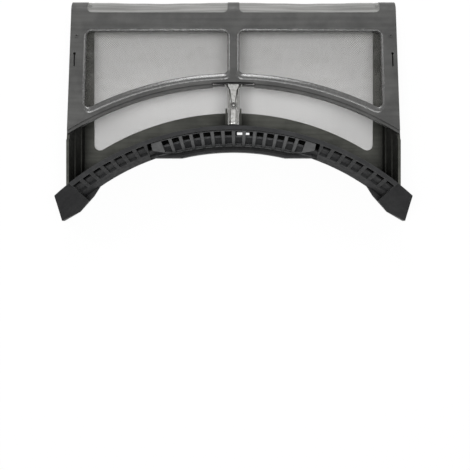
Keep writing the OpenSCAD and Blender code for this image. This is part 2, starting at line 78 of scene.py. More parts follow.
def cover_top(y):
    """Height of the cover's top at a distance y from the arcs' centre: a plane that is tangent
    to the nose circle and rises towards the bar at the wedge angle."""
    tangent = math.pi / 2 - WEDGE
    y_touch, z_touch = NOSE_Y + NOSE_R * math.cos(tangent), NOSE_Z + NOSE_R * math.sin(tangent)
    return z_touch + (y_touch - y) * math.tan(WEDGE)


print("cover is", round(cover_top(LIP_R) * 1000, 1), "mm high at the lip")

# %% [markdown]
# ## Camera
# The filter was photographed from straight above, with the grille bar at the lower edge of the
# picture. The slots of the bar show their floors, which gives away how close the lens was.

# %% Place the camera
PICTURE_PX, FOCAL_PX = 470, 794
CAMERA_PLACE = (1.35 * MM, -114.4 * MM, 750 * MM)
lens = bpy.data.cameras.new("camera")
lens.sensor_width = 36
lens.lens = lens.sensor_width * FOCAL_PX / PICTURE_PX
camera = bpy.data.objects.new("camera", lens)
camera.location = CAMERA_PLACE
bpy.context.collection.objects.link(camera)
bpy.context.scene.camera = camera
bpy.context.scene.view_settings.view_transform = "Standard"
print("lens:", round(lens.lens, 1), "mm")

# %% [markdown]
# ## Small helpers for shader nodes
# Materials could be wired by hand in the node editor. Here they are written in code, so that
# every value can be read and changed. The first helper adds a node, sets its properties, and
# fills each socket with a value or with the output of another node. The others are the few
# steps that come back in every material.

# %% Helpers for nodes
def add(tree, kind, sockets=None, **settings):
    """Adds a shader node. sockets maps a socket's name or number to a value or an output. The
    nodes are laid out in rows of nine."""
    node = tree.nodes.new("ShaderNode" + kind)
    for name, value in settings.items():
        setattr(node, name, value)
    for key, value in (sockets or {}).items():
        if isinstance(value, bpy.types.NodeSocket):
            tree.links.new(value, node.inputs[key])
        else:
            node.inputs[key].default_value = value
    row, column = divmod(len(tree.nodes), 9)
    node.location = (190 * column, -220 * row)
    return node


def maths(tree, operation, a, b=0.0):
    """One Math node, as an output."""
    return add(tree, "Math", {0: a, 1: b}, operation=operation).outputs[0]


def product(tree, first, *others):
    """Multiplies two or more values, as an output."""
    for other in others:
        first = maths(tree, "MULTIPLY", first, other)
    return first


def one_minus(tree, value):
    """The rest up to one, as an output."""
    return maths(tree, "SUBTRACT", 1.0, value)


def spread(tree, value, low, high, to_low=0.0, to_high=1.0):
    """Maps value from one range to another and stays inside it, with soft ends."""
    return add(tree, "MapRange", {"Value": value, 1: low, 2: high, 3: to_low, 4: to_high},
               interpolation_type="SMOOTHSTEP").outputs[0]


def blend_colours(tree, factor, a, b):
    """Mixes two colours by a factor, as an output. The Mix node keeps its colours in the
    sockets 6 and 7."""
    return add(tree, "Mix", {0: factor, 6: a, 7: b}, data_type="RGBA").outputs[2]


def darken(tree, colour, factor):
    """Multiplies a colour by one value, as an output."""
    return add(tree, "VectorMath", {0: colour, "Scale": factor}, operation="SCALE").outputs[0]


def stretch(tree, place, factors):
    """Multiplies a place by one factor per axis. A pattern that reads it gets finer along the
    axes with large factors, and so looks drawn out along the others."""
    return add(tree, "VectorMath", {0: place, 1: factors}, operation="MULTIPLY").outputs[0]


def noise(tree, place, scale, detail, **more):
    """A noise between nought and one, as an output. more holds other sockets of the node."""
    return add(tree, "TexNoise",
               {"Vector": place, "Scale": scale, "Detail": detail, **more}).outputs[0]


def object_place(tree):
    """The point's place in the piece's own coordinates, as an output."""
    return add(tree, "TexCoord").outputs["Object"]


def open_sky(tree, distance, samples):
    """How much of the surroundings is free within a distance: one in the open, less in
    corners."""
    return add(tree, "AmbientOcclusion", {"Distance": distance}, samples=samples).outputs["AO"]


print("node helpers ready")

# %% Helpers for groups and materials
def new_group(name, inputs, outputs):
    """A node group. inputs holds (name, value) pairs: a number, or a colour of four numbers."""
    tree = bpy.data.node_groups.new(name, "ShaderNodeTree")
    for label, value in inputs:
        kind = "NodeSocketColor" if isinstance(value, tuple) else "NodeSocketFloat"
        tree.interface.new_socket(label, in_out="INPUT", socket_type=kind).default_value = value
    for label, kind in outputs:
        tree.interface.new_socket(label, in_out="OUTPUT", socket_type="NodeSocket" + kind)
    entry, exit_node = tree.nodes.new("NodeGroupInput"), tree.nodes.new("NodeGroupOutput")
    return tree, entry.outputs, exit_node.inputs


def new_material(name, **values):
    """A material with one Principled shader, whose plain sockets are set by name."""
    material = bpy.data.materials.new(name)
    material.use_nodes = True
    shader = material.node_tree.nodes["Principled BSDF"]
    for label, value in values.items():
        shader.inputs[label.replace("_", " ")].default_value = value
    return material, material.node_tree, shader


def place_group(tree, group_tree, **values):
    """Puts a group into a material and sets its inputs by name: numbers, or colours of three
    numbers that become opaque."""
    group = add(tree, "Group", node_tree=group_tree)
    for label, value in values.items():
        group.inputs[label.capitalize()].default_value = (
            (*value, 1) if isinstance(value, tuple) else value)
    return group


print("group and material helpers ready")

# %% [markdown]
# ## Moulded plastic
# The frames are moulded in a satin grey plastic. Seen close, its skin has a fine spark-eroded
# grain, and a cloudy change of shade with faint streaks where the melt flowed. An image of such
# a skin would have to be wrapped round every part, so the skin is built from noise on the
# part's own coordinates. All plastics share one group and differ in its values.

# %% Group for moulded plastic: shades
plastic_group, p_in, p_out = new_group("moulded_plastic", [
    ("Dark", (0.08, 0.08, 0.08, 1)), ("Light", (0.11, 0.11, 0.11, 1)),
    ("Edge", (0.3, 0.3, 0.3, 1)), ("Wear", 0.5), ("Grain", 0.5), ("Gloss", 0.5),
    ("Streak", 0.0), ("Depth", 0.8), ("Settled", 0.0)],
    [("Color", "Color"), ("Roughness", "Float"), ("Normal", "Vector")])
t = plastic_group
place = object_place(t)
clouds = noise(t, place, 38.0, 5.0, Roughness=0.6)
smudge = noise(t, place, 240.0, 3.0)
grain = noise(t, place, 2600.0, 2.0)
flow = noise(t, stretch(t, place, (9.0, 330.0, 60.0)), 1.0, 3.0)
body = blend_colours(t, spread(t, clouds, 0.36, 0.64), p_in["Dark"], p_in["Light"])
speck = blend_colours(t, product(t, spread(t, grain, 0.5, 0.8), 0.10), body, p_in["Edge"])
streaky = maths(t, "ADD", 1.0, product(t, p_in["Streak"], spread(t, flow, 0.3, 0.7, -1.0, 1.0)))
print("shades from", len(t.nodes), "nodes")

# %% [markdown]
# ### Rubbed edges and painted highlights
# The mould rounds each corner. Its edges are coloured paler, partly as wear from hands and
# partly as a painted highlight. Rounding the solids would cost many faces. A Bevel node bends
# the normal near an edge instead, so that each edge catches a line of light, and the angle
# between the bent and the true normal tells where the edges are.

# %% Group for moulded plastic: edges
EDGE_ROUND = 0.45 * MM
rounded = add(t, "Bevel", {"Radius": EDGE_ROUND}, samples=6).outputs[0]
flat = add(t, "NewGeometry").outputs["Normal"]
facing = add(t, "VectorMath", {0: rounded, 1: flat}, operation="DOT_PRODUCT").outputs["Value"]
edge = spread(t, one_minus(t, facing), 0.01, 0.16)
rubbed_and_highlit = product(t, edge, spread(t, smudge, 0.35, 0.62, 0.35, 1.0))
# Paler edges: partly wear, partly a painted highlight
worn_and_highlit_edges = blend_colours(t, product(t, rubbed_and_highlit, p_in["Wear"]), speck, p_in["Edge"])
print("edges rounded over", EDGE_ROUND / MM, "mm")

# %% [markdown]
# ### Painted shade and gloss
# Ambient Occlusion finds little free space in the corners, and there shade is painted into the
# colour. Painted shade also darkens the walls against the faces that look up: the normal's
# upward share tells them apart. Rubbed edges are smoother than the skin beside them, and smudges
# change the roughness a little. The grain is a bump on top of the rounded normal.

# %% Group for moulded plastic: painted shade and gloss
CORNER_REACH, GRAIN_HEIGHT = 14 * MM, 0.06 * MM
# Painted shade: the colour is darkened where Ambient Occlusion finds corners
corner_shade_mask = spread(t, open_sky(t, CORNER_REACH, 6), 0.25, 0.95, 1.0, 0.0)
painted_corner_shade = one_minus(t, product(t, p_in["Depth"], corner_shade_mask))
# Painted shade: walls are coloured darker than the faces that look up
normal_up = add(t, "SeparateXYZ", {0: add(t, "TexCoord").outputs["Normal"]}).outputs[2]
wall = spread(t, normal_up, 0.3, 0.85, 1.0, 0.0)
painted_wall_shade = one_minus(t, product(t, p_in["Settled"], wall))
t.links.new(darken(t, worn_and_highlit_edges, product(t, painted_wall_shade, product(t, streaky, painted_corner_shade))), p_out["Color"])
smudged = product(t, p_in["Grain"], spread(t, smudge, 0.3, 0.7, -0.12, 0.14))
shiny = product(t, rubbed_and_highlit, p_in["Wear"], 0.27)
t.links.new(maths(t, "SUBTRACT", maths(t, "ADD", p_in["Gloss"], smudged), shiny),
            p_out["Roughness"])
bump = add(t, "Bump", {"Strength": p_in["Grain"], "Distance": GRAIN_HEIGHT, "Height": grain,
                       "Normal": rounded})
t.links.new(bump.outputs[0], p_out["Normal"])
print("group", t.name, "has", len(t.nodes), "nodes")


# %% Materials of the plastic parts
def plastic(name, shine, **values):
    """A plastic from the shared group. shine is the level of the reflections. values are the
    three shades dark, light and edge, wearshine (how pale the edges are: partly wear, partly a
    painted highlight), the grain, gloss (the roughness), streak (the flow streaks), depth (how much
    shade is painted into the corners) and wallshade (how much darker the walls are painted than
    the faces that look up)."""
    material, tree, shader = new_material(name, IOR=1.5, Specular_IOR_Level=shine)
    group = place_group(tree, plastic_group, **values)
    tree.links.new(group.outputs["Color"], shader.inputs["Base Color"])
    tree.links.new(group.outputs["Roughness"], shader.inputs["Roughness"])
    tree.links.new(group.outputs["Normal"], shader.inputs["Normal"])
    return material


BAR_DEPTH = 0.6
cover_plastic = plastic(
    "cover_plastic", 0.3, dark=(0.050, 0.050, 0.049), light=(0.068, 0.068, 0.066),
    edge=(0.20, 0.20, 0.195), wear=0.32, grain=0.5, gloss=0.38, streak=0.10, depth=0.8,
    settled=0.0)
trim_plastic = plastic(
    "trim_plastic", 0.9, dark=(0.050, 0.050, 0.049), light=(0.066, 0.066, 0.064),
    edge=(0.12, 0.12, 0.118), wear=0.03, grain=0.05, gloss=0.27, streak=0.0, depth=0.3,
    settled=0.0)
bar_plastic = plastic(
    "bar_plastic", 0.08, dark=(0.022, 0.0225, 0.0235), light=(0.031, 0.0315, 0.0325),
    edge=(0.16, 0.16, 0.16), wear=0.6, grain=0.6, gloss=0.45, streak=0.0, depth=BAR_DEPTH,
    settled=0.3)
grip_plastic = plastic(
    "grip_plastic", 0.3, dark=(0.058, 0.059, 0.060), light=(0.075, 0.076, 0.077),
    edge=(0.20, 0.20, 0.20), wear=0.5, grain=0.6, gloss=0.42, streak=0.0, depth=0.35,
    settled=0.0)
rear_plastic = plastic(
    "rear_plastic", 0.08, dark=(0.050, 0.051, 0.045), light=(0.068, 0.069, 0.061),
    edge=(0.16, 0.16, 0.15), wear=0.3, grain=0.6, gloss=0.58, streak=0.14, depth=0.9,
    settled=0.75)
print("plastics:", [m.name for m in (cover_plastic, trim_plastic, bar_plastic, grip_plastic,
                                     rear_plastic)])

# %% [markdown]
# ## Paler corners behind the grip, and painted shade round the slot
# Behind the slotted grip the corners are made paler, and shade is painted round the slot that
# the strap hangs in. Both follow the round mouth, so a mask needs only two distances: from the
# middle plane and from the centre of the arcs. Painting them by hand would tie them to one mesh.
# Here a mask changes one value on its way into or out of the shared group.

# %% Masks of the bar and the cover
def from_arcs(tree):
    """Distance of a point from the middle plane, and from the centre of the arcs: the root of
    the sum of the squares of x and of y counted from that centre."""
    x, y, _ = add(tree, "SeparateXYZ", {0: object_place(tree)}).outputs
    from_centre = maths(tree, "ADD", y, MIDDLE_Y)
    squares = (maths(tree, "POWER", value, 2.0) for value in (x, from_centre))
    return maths(tree, "ABSOLUTE", x), maths(tree, "SQRT", maths(tree, "ADD", *squares))


# Behind the grip the mask of painted corner shade is turned round: its depth goes far below nought,
# so the corners there come out paler
PALE_BEHIND_GRIP = 3.4
tree = bar_plastic.node_tree
aside, reach = from_arcs(tree)
behind = product(tree, spread(tree, aside, 73.5 * MM, 72 * MM),
                 spread(tree, reach, 221.5 * MM, 223 * MM))
tree.links.new(maths(tree, "SUBTRACT", BAR_DEPTH, product(tree, behind, PALE_BEHIND_GRIP)),
               tree.nodes["Group"].inputs["Depth"])

# Round the strap's slot shade is painted into the plastic, and the plastic is made duller
PAINTED_SLOT_SHADE, SLOT_SHADE_ROUGH = (0.008, 0.008, 0.008, 1), 0.5
tree = cover_plastic.node_tree
aside, reach = from_arcs(tree)
# Painted shade: near-black colour round the slot
painted_slot_shade = product(tree, spread(tree, aside, 20 * MM, 19 * MM),
                 spread(tree, reach, LIP_R + 0.6 * MM, LIP_R + 1.1 * MM),
                 spread(tree, reach, LIP_R + 3.9 * MM, LIP_R + 3.4 * MM))
group, shader = tree.nodes["Group"], tree.nodes["Principled BSDF"]
tree.links.new(blend_colours(tree, painted_slot_shade, group.outputs["Color"], PAINTED_SLOT_SHADE),
               shader.inputs["Base Color"])
tree.links.new(maths(tree, "ADD", group.outputs["Roughness"], product(tree, painted_slot_shade, SLOT_SHADE_ROUGH)),
               shader.inputs["Roughness"])
print("masks in", bar_plastic.name, "and", cover_plastic.name)

# %% Give the CAD parts their plastics
for part, material in (("front_frame", cover_plastic), ("grille_bar", bar_plastic),
                       ("grip_insert", grip_plastic), ("rear_frame", rear_plastic)):
    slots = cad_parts[part].material_slots
    for part_slot in slots:
        part_slot.material = material
    print(part, "wears", material.name, "in", len(slots), "slots")

# %% [markdown]
# ## Woven cloth
# The windows are closed by a polyester mesh whose threads are far finer than a pixel of the
# picture. A real weave has open squares, so the cloth shows what lies behind it and lets light
# through. Threads could be modelled one by one, but there would be millions of them, so the
# weave is a pattern in the cloth's transparency. It follows each sheet's own UV map, which holds
# metres along the cloth: two sets of thin threads cross, each alternately above and below the
# other. Threads are opaque and the squares between them are clear.

# %% Group for the weave: threads
PITCH = 0.45 * MM
weave_group, w_in, w_out = new_group("woven_mesh", [
    ("Pitch", PITCH), ("Thread", 0.16), ("Cover", 0.0), ("Beat", 0.0)],
    [("Alpha", "Float"), ("Height", "Float"), ("Shade", "Float")])
t = weave_group
cloth_uv = add(t, "UVMap", uv_map="cloth_uv").outputs[0]
metres_along, metres_across, _ = add(t, "SeparateXYZ", {0: cloth_uv}).outputs
along = maths(t, "DIVIDE", metres_along, w_in["Pitch"])
across = maths(t, "DIVIDE", metres_across, w_in["Pitch"])
half_thread = product(t, w_in["Thread"], 0.5)


def thread(cells):
    """One in the middle of each cell and nought outside the thread, with soft sides."""
    off_middle = maths(t, "ABSOLUTE", maths(t, "SUBTRACT", maths(t, "FRACT", cells), 0.5))
    return spread(t, off_middle, half_thread, product(t, half_thread, 0.5))


warp, weft = thread(along), thread(across)
cells = maths(t, "ADD", maths(t, "FLOOR", along), maths(t, "FLOOR", across))
crossing = maths(t, "PINGPONG", cells, 1.0)
over = product(t, warp, maths(t, "ADD", 0.5, product(t, crossing, 0.5)))
under = product(t, weft, one_minus(t, product(t, crossing, 0.5)))
t.links.new(maths(t, "MAXIMUM", over, under), w_out["Height"])
woven = maths(t, "MAXIMUM", maths(t, "MAXIMUM", warp, weft), w_in["Cover"])
print("threads from", len(t.nodes), "nodes")

# %% [markdown]
# ### Bunched threads and streaks
# Where the weave and the pixels of a camera nearly agree, a coarser pattern of dots appears in
# patches. Threads that lie closer together in a fine chequer give the cloth the same look from
# every side. Streaks along the threads change their shade.

# %% Group for the weave: bunching and shade
BUNCH = 2.2 * MM
bunched = product(t, *(maths(t, "SINE", product(t, metres, 2 * math.pi / BUNCH))
                       for metres in (metres_along, metres_across)))
patches = spread(t, noise(t, cloth_uv, 34.0, 2.0), 0.47, 0.68)
beat = product(t, bunched, product(t, w_in["Beat"], patches))
t.links.new(add(t, "Clamp", {0: maths(t, "ADD", woven, beat)}).outputs[0], w_out["Alpha"])
streaks = noise(t, stretch(t, cloth_uv, (14.0, 420.0, 1.0)), 1.0, 4.0)
t.links.new(spread(t, streaks, 0.3, 0.7), w_out["Shade"])
print("group", t.name, "has", len(t.nodes), "nodes")


# %% Materials of the cloths
def cloth(name, dark, light, fold_shade, **values):
    """A cloth from the weave group: two shades of thread and how much shade is painted into its
    folds.
    values are the thread's width as a share of the pitch, cover (the haze of fine lint in the
    squares) and beat (how strongly bunched threads show)."""
    material, tree, shader = new_material(name, Roughness=0.7, IOR=1.45, Sheen_Weight=0.15)
    group = place_group(tree, weave_group, pitch=PITCH, **values)
    shade = blend_colours(tree, group.outputs["Shade"], (*dark, 1), (*light, 1))
    # Painted shade: the thread colour is darkened where Ambient Occlusion finds folds
    painted_fold_shade = one_minus(tree, spread(tree, open_sky(tree, 5 * MM, 6), 0.55, 0.97, fold_shade, 0.0))
    tree.links.new(darken(tree, shade, painted_fold_shade), shader.inputs["Base Color"])
    tree.links.new(group.outputs["Alpha"], shader.inputs["Alpha"])
    bump = add(tree, "Bump", {"Strength": 0.6, "Distance": 0.05 * MM,
                              "Height": group.outputs["Height"]})
    tree.links.new(bump.outputs[0], shader.inputs["Normal"])
    return material


window_cloth = cloth("window_cloth", (0.29, 0.284, 0.267), (0.38, 0.372, 0.348), 0.0,
                     thread=0.045, cover=0.02, beat=0.6)
back_cloth = cloth("back_cloth", (0.145, 0.138, 0.127), (0.19, 0.181, 0.166), 0.0,
                   thread=0.175, cover=0.07, beat=0.10)
nose_cloth = cloth("nose_cloth", (0.17, 0.17, 0.163), (0.31, 0.31, 0.30), 0.75,
                   thread=0.42, cover=0.80, beat=0.0)
print("cloths:", window_cloth.name, back_cloth.name, nose_cloth.name)

# %% [markdown]
# ## Sheets as surfaces of two parameters
# Every thin piece starts as a rectangular grid of points. One helper turns such a grid into a
# mesh with a UV map in metres; the shape itself comes from the function that fills the grid.

# %% Helpers for grids
def grid_piece(name, points, material, metres=None, closed=False, holes=None):
    """A mesh from an array of points (rows, columns, 3). Faces join neighbours in the grid,
    and closed joins the last row to the first. metres (rows, columns, 2) becomes the UV map.
    holes flags the cells that get no face."""
    rows, columns = points.shape[:2]
    index = np.arange(rows * columns).reshape(rows, columns)
    if closed:
        index = np.vstack([index, index[:1]])
    quads = np.stack([index[:-1, :-1], index[:-1, 1:], index[1:, 1:], index[1:, :-1]], -1)
    quads = quads.reshape(-1, 4) if holes is None else quads[~holes]
    mesh = bpy.data.meshes.new(name)
    mesh.from_pydata(points.reshape(-1, 3).tolist(), [], quads.tolist())
    if metres is not None:
        corners = metres.reshape(-1, 2)[quads.reshape(-1)].astype(np.float32)
        mesh.uv_layers.new(name="cloth_uv").data.foreach_set("uv", corners.reshape(-1))
    mesh.shade_smooth()
    mesh.materials.append(material)
    piece = bpy.data.objects.new(name, mesh)
    bpy.context.collection.objects.link(piece)
    return piece


def sheet_area(points):
    """Area of a grid of points: half the cross product of each cell's diagonals, summed."""
    one, two = points[1:, 1:] - points[:-1, :-1], points[1:, :-1] - points[:-1, 1:]
    return float(np.linalg.norm(np.cross(one, two), axis=-1).sum() / 2)


def bell(x, middle, width):
    """A smooth bump of height one at middle that has faded out a few widths away."""
    return np.exp(-((x - middle) / width) ** 2)


def step(x, start, end):
    """A smooth ramp from nought at start to one at end."""
    s = np.clip((x - start) / (end - start), 0, 1)
    return s * s * (3 - 2 * s)


print("grid helpers ready")


# %% [markdown]
# ## Cloth of the windows
# The cloth is moulded into the frame under tension. It lies in a shallow ledge round each
# window, bounded by the rib, the arc above the mouth, the side and the far edge. A simulation
# would find its slack, but the cloth is nearly flat, so the slack is written down: it gives a
# few tenths of a millimetre between the edges. Each row of the grid runs from rib to side at
# one share of the way from the arc to the far edge, and near the ends the rows get shorter,
# which rounds the corners.

# %% Shape of a window's cloth
ROW_DEPTH = 0.8
RIPPLE, RIPPLE_X, RIPPLE_Y = 0.08 * MM, 160, 210
BACK_LEDGE_Z = 0.9 * MM


def corner_cut(depth, radius):
    """How much shorter a row gets at a depth from the edge, for a round corner: the radius less
    the half chord of its circle, and nothing past the corner."""
    return radius - np.sqrt(np.clip(radius ** 2 - np.clip(radius - depth, 0, None) ** 2, 0, None))


def window_sheet(side, half, radius, shift, top, corners, height, slack, rows=90, columns=120):
    """Points of a window's cloth on the side 1 or -1. x runs from the rib to the side, y from
    the arc y = shift + sqrt(radius^2 - x^2) to the window's top, z is the height function plus
    a slack that follows the product of two half sine waves, plus a ripple. A row's depth from
    the edge is its share of the window's height, a little less because the arc falls away."""
    x_in, x_out, top = RIB_HALF - LEDGE, half + LEDGE, top + LEDGE
    v = np.linspace(0, 1, rows)[:, None]
    u = np.linspace(0, 1, columns)[None, :]
    depth = (top - shift - radius) * np.minimum(v, 1 - v) * ROW_DEPTH
    cut_in, cut_out = (corner_cut(depth, corner + LEDGE) for corner in corners)
    x = (x_in + cut_in) + (x_out - x_in - cut_in - cut_out) * u
    y_low = shift + np.sqrt((radius - LEDGE) ** 2 - x ** 2)
    y = y_low + (top - y_low) * v
    sag = np.sin(np.pi * u) * np.sin(np.pi * v)
    ripple = RIPPLE * np.sin(x * RIPPLE_X + 1.3) * np.sin(y * RIPPLE_Y)
    z = height(y) + (slack + ripple) * sag
    points = np.stack([side * x, y - MIDDLE_Y, z], -1)
    metres = np.stack([x, y], -1)
    if side < 0:
        points, metres = points[:, ::-1], metres[:, ::-1]
    return points, metres


def under_cover(y):
    """Height of the ledge below the cover in which the cloth lies."""
    return cover_top(y) - (COVER_T - CLOTH_T / 2) / math.cos(WEDGE)


def in_back(y):
    """Height of the ledge in the flat back."""
    return np.full_like(y, BACK_LEDGE_Z)


# %% Make the four window cloths
front = (WINDOW_HALF, WINDOW_R, 0, WINDOW_TOP, (WINDOW_CORNER, WINDOW_CORNER), under_cover)
back = (BACK_HALF, BACK_R, BACK_SHIFT, BACK_TOP, (1.5 * MM, 5.5 * MM), in_back)
for name, node, side, outline, slack, body_name in (
        ("window_cloth_left", "front_mesh_left", -1, front, -0.5 * MM, "cover"),
        ("window_cloth_right", "front_mesh_right", 1, front, -0.4 * MM, "cover"),
        ("back_cloth_left", "rear_mesh_left", -1, back, -0.3 * MM, "back_half"),
        ("back_cloth_right", "rear_mesh_right", 1, back, -0.3 * MM, "back_half")):
    material, holder, slope = ((window_cloth, "front_frame", math.cos(WEDGE))
                               if body_name == "cover" else (back_cloth, "rear_frame", 1))
    points, metres = window_sheet(side, *outline, slack)
    piece = grid_piece(name, points, material, metres)
    low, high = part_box(node)
    flat = (float(high[0] - low[0]), float(high[1] - low[1]) / slope)
    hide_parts(node)
    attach(piece, body_name)
    print(name, "flat", [round(f * 1000) for f in flat], "mm, area",
          round(sheet_area(points) * 1e4), "cm2")


# %% [markdown]
# ## Cloth round the nose
# Two strips of the same cloth wrap the round nose between the end caps and the middle rib. The
# strips are held only at their ends and along their long edges, so between the ribs they wave:
# they stand proud near the ribs and fall back in the middle of a span. Where a strip is tucked
# into the end cap it sinks in and gathers a few pleats.

# %% Shape and pieces of the nose cloth
NOSE_FROM, NOSE_TO = math.radians(-12), math.pi / 2 - WEDGE
FLAT_L = (NOSE_Y + NOSE_R * math.cos(NOSE_TO) - NOSE_WINDOW_Y) / math.cos(WEDGE)
NOSE_L = NOSE_R * (NOSE_TO - NOSE_FROM) + FLAT_L
# How far the strip sinks below the nose: everywhere, in the wave, at the tuck, in the pleats
NOSE_SINK, WAVE_SINK, TUCK_SINK, PLEAT_SINK = 0.3 * MM, 1.0 * MM, 2.0 * MM, 0.35 * MM
# Waves to the metre along the nose, and how much longer the strip is than its window
LONG_WAVE, SHORT_WAVE, SEAM = 8.7, 31, 0.3 * MM


def nose_sheet(side, rows=48, columns=160):
    """Points of a nose strip. u runs along the nose. s is the length round from the lower rail:
    first along the circle, then straight on along the cover. The cloth falls back by a wave
    along u that fades to nothing at the held edges, by a bell at the tuck, and by pleats that
    get finer towards the end cap. The last rows get shorter, which rounds the corners."""
    u = np.linspace(0, 1, columns)[None, :]
    s = NOSE_L * np.linspace(0, 1, rows)[:, None]
    cut_off = corner_cut(NOSE_L - s + 0.1 * MM, WINDOW_CORNER)
    x = RIB_HALF - SEAM / 2 + cut_off + (WINDOW_HALF - RIB_HALF + SEAM - 2 * cut_off) * u
    angle = np.minimum(NOSE_FROM + s / NOSE_R, NOSE_TO)
    straight = np.clip(s - NOSE_R * (NOSE_TO - NOSE_FROM), 0, None)
    wave = (0.5 + 0.35 * np.cos(2 * np.pi * (x * LONG_WAVE + 0.42))
            + 0.15 * np.cos(2 * np.pi * x * SHORT_WAVE))
    held = (np.sin(np.pi * u) * np.sin(np.pi * s / NOSE_L)).clip(0) ** 0.5
    to_end, tuck_at = WINDOW_HALF - x, 0.62 * NOSE_L
    tuck = bell(to_end, 2.2 * MM, 1.8 * MM) * bell(s, tuck_at, 0.2 * NOSE_L)
    pleats = np.sin((s - tuck_at) / (0.5 * MM + 0.3 * to_end.clip(0)))
    pleats = pleats * bell(to_end, 4 * MM, 5 * MM)
    r = (NOSE_R - NOSE_SINK - WAVE_SINK * wave * held - TUCK_SINK * tuck
         - PLEAT_SINK * (1 + pleats) * held)
    y = NOSE_Y - MIDDLE_Y + r * np.cos(angle) - straight * math.cos(WEDGE)
    z = NOSE_Z + r * np.sin(angle) + straight * math.sin(WEDGE)
    points = np.stack(np.broadcast_arrays(side * x, y, z), -1)
    metres = np.stack(np.broadcast_arrays(x, s), -1)
    if side < 0:
        points, metres = points[:, ::-1], metres[:, ::-1]
    return points, metres


for name, node, side in (("nose_cloth_left", "nose_mesh_left", -1),
                         ("nose_cloth_right", "nose_mesh_right", 1)):
    points, metres = nose_sheet(side)
    piece = grid_piece(name, points, nose_cloth, metres)
    flat = (WINDOW_HALF - RIB_HALF + SEAM, NOSE_L)
    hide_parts(node)
    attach(piece, "cover")
    print(name, "flat", [round(f * 1000) for f in flat], "mm, area",
          round(sheet_area(points) * 1e4), "cm2")

# %% [markdown]
# ## Moulded edges of the windows
# The mould leaves a rounded bead round each window of the cover, which traps the edge of the
# cloth. Along three sides it is narrow, and on the arc above the mouth it widens into a roll
# that falls away to the lip. A Bevel modifier on the frame would round every other edge as
# well, so the bead is a piece of its own: a profile that is swept along the window's outline
# and changes from narrow to wide on the way. A profile gives the distance outward and the
# height above the cover.

# %% Outline of a front window
def window_edge():
    """Points of a front window's outline and the outward directions there. The outline joins
    four corner circles by straight lines and by the arc above the mouth. Each part leaves out
    its last point, where the next part begins."""
    c, r = WINDOW_CORNER, WINDOW_R
    low_x, high_x, top = RIB_HALF + c, WINDOW_HALF - c, WINDOW_TOP - c
    low_in = np.array([low_x, math.sqrt((r + c) ** 2 - low_x ** 2)])
    low_out = np.array([high_x, math.sqrt((r + c) ** 2 - high_x ** 2)])
    turn_in, turn_out = (math.atan2(p[1], p[0]) for p in (low_in, low_out))
    places, ways = [], []
    for centre, radius, start, end, steps, sign in (
            (low_in, c, math.pi, math.pi + turn_in, 20, 1),
            ((0, 0), r, turn_in, turn_out, 120, -1),
            (low_out, c, math.pi + turn_out, 2 * math.pi, 20, 1),
            ((high_x, top), c, 0, math.pi / 2, 12, 1),
            ((low_x, top), c, math.pi / 2, math.pi, 12, 1)):
        angle = np.linspace(start, end, steps)[:-1]
        way = np.stack([np.cos(angle), np.sin(angle)], -1)
        places.append(np.array(centre) + radius * way)
        ways.append(sign * way)
    return np.concatenate(places), np.concatenate(ways)


def swept(side, places, ways, profile):
    """Grid of points: each place moved outward by the profile's distances, at the height of
    the cover's top plus the profile's heights. profile is an array (places, steps, 2)."""
    plan = places[:, None] + ways[:, None] * profile[..., :1]
    z = cover_top(plan[..., 1]) + profile[..., 1]
    points = np.stack([side * plan[..., 0], plan[..., 1] - MIDDLE_Y, z], -1)
    return points if side < 0 else points[:, ::-1]


edge_places, edge_ways = window_edge()
print("outline of", len(edge_places), "points")

# %% Beads
narrow = np.array([
    [-0.3, -1.9], [-0.25, -0.9], [-0.12, -0.25], [0.08, 0.1], [0.3, 0.28], [0.6, 0.38],
    [0.8, 0.36], [1.0, 0.29], [1.2, 0.19], [1.4, 0.07], [1.6, -0.04], [1.8, -0.12],
    [2.1, -0.12], [2.5, -0.02], [2.9, -0.06], [3.0, -0.3]]) * MM
wide = np.array([
    [-1.05, -1.9], [-1.1, -0.9], [-1.05, -0.5], [-0.9, -0.33], [-0.5, -0.16], [0, 0.02],
    [0.6, 0.19], [1.2, 0.35], [1.8, 0.48], [2.3, 0.55], [2.8, 0.56], [3.5, 0.47],
    [4.2, 0.29], [4.7, 0.1], [5.0, -0.04], [5.1, -0.3]]) * MM
edge_r = np.linalg.norm(edge_places, axis=1)
on_arc = 1 - step(edge_r, WINDOW_R + 0.2 * MM, WINDOW_R + WINDOW_CORNER)[:, None, None]
profile = narrow * (1 - on_arc) + wide * on_arc
for name, side in (("left", -1), ("right", 1)):
    points = swept(side, edge_places, edge_ways, profile)
    bead = grid_piece("window_bead_" + name, points, trim_plastic, closed=True)
    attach(bead, "cover")
    print("bead of the", name, "window:", len(bead.data.polygons), "faces")

# %% [markdown]
# ## Slotted grip
# The insert in the middle of the bar is a thin moulded shell with fourteen slots for the
# fingertips. Its face leans back, and the ends of its lower edge are cut straight. Slots could
# be cut with a Boolean modifier, but a grid of angle and height whose cells inside the slots
# are left open keeps clean faces. Modifiers then give the shell its wall and the small radii
# that a mould needs to let it go. The slots run almost down to the lower edge, where only a
# thin sill closes them.

# %% Grid of the grip
# The face leans from the foot's radius at its lowest height to the top's radius at its highest
GRIP_LOW, GRIP_HIGH, GRIP_FOOT_R, GRIP_TOP_R = 6.02 * MM, 39 * MM, 219.8 * MM, 231.5 * MM
# The shell ends a little below that, and the slots end below its edge
GRIP_EDGE, SLOT_TOP, SILL, SILL_LOW = 37.5 * MM, 36.6 * MM, 1.5 * MM, 7.7 * MM
GRIP_HALF, SLOT_HALF, SLOTS, SLOT_PITCH = 74 * MM, 3.15 * MM, 14, 9.84 * MM
# The straight cut begins at this angle from the middle
FLAT_Y = GRIP_FOOT_R * math.cos(math.radians(13.8))


def grip_radius(z):
    """Radius of the leaning face at height z: a straight line from the foot to the top."""
    return GRIP_FOOT_R + (GRIP_TOP_R - GRIP_FOOT_R) * (z - GRIP_LOW) / (GRIP_HIGH - GRIP_LOW)


